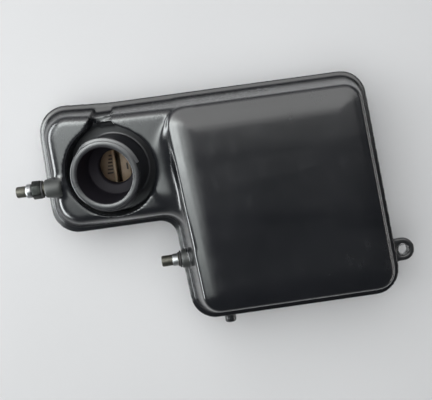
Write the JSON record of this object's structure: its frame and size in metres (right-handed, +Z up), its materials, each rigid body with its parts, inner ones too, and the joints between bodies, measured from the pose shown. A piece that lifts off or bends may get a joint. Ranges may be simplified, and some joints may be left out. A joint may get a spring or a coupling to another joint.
{
  "type": "coolant expansion tank",
  "caption": "L-shaped moulded coolant expansion tank with a tall chamber, a sloping filler lobe with an open threaded neck in a drained well, hose nipples, an ear and a peg.",
  "frame": {"origin": "on the base, under the middle of the tall chamber's top", "axes": "+Z up out of the tall chamber's top, +X along the long side towards the ear, +Y towards the straight back wall with the drain channel"},
  "size_m": [0.3418, 0.2166, 0.1136],
  "materials": {
    "shell_plastic": "semi-gloss charcoal moulded plastic",
    "neck_plastic": "satin charcoal moulded plastic",
    "amber_plastic": "satin amber brown moulded plastic",
    "nipple_steel": "turned and plated steel",
    "seal_rubber": "matte black rubber",
    "sleeve_steel": "bright rolled steel"
  },
  "bodies": {
    "root": {"upper_shell": "shell_plastic", "lower_shell": "shell_plastic", "filler_neck": "neck_plastic", "level_gauge": "amber_plastic", "bleed_nipple": "nipple_steel", "bleed_seal": "seal_rubber", "feed_nipple": "nipple_steel", "feed_seal": "seal_rubber", "ear_sleeve": "sleeve_steel"}
  },
  "joints": []
}
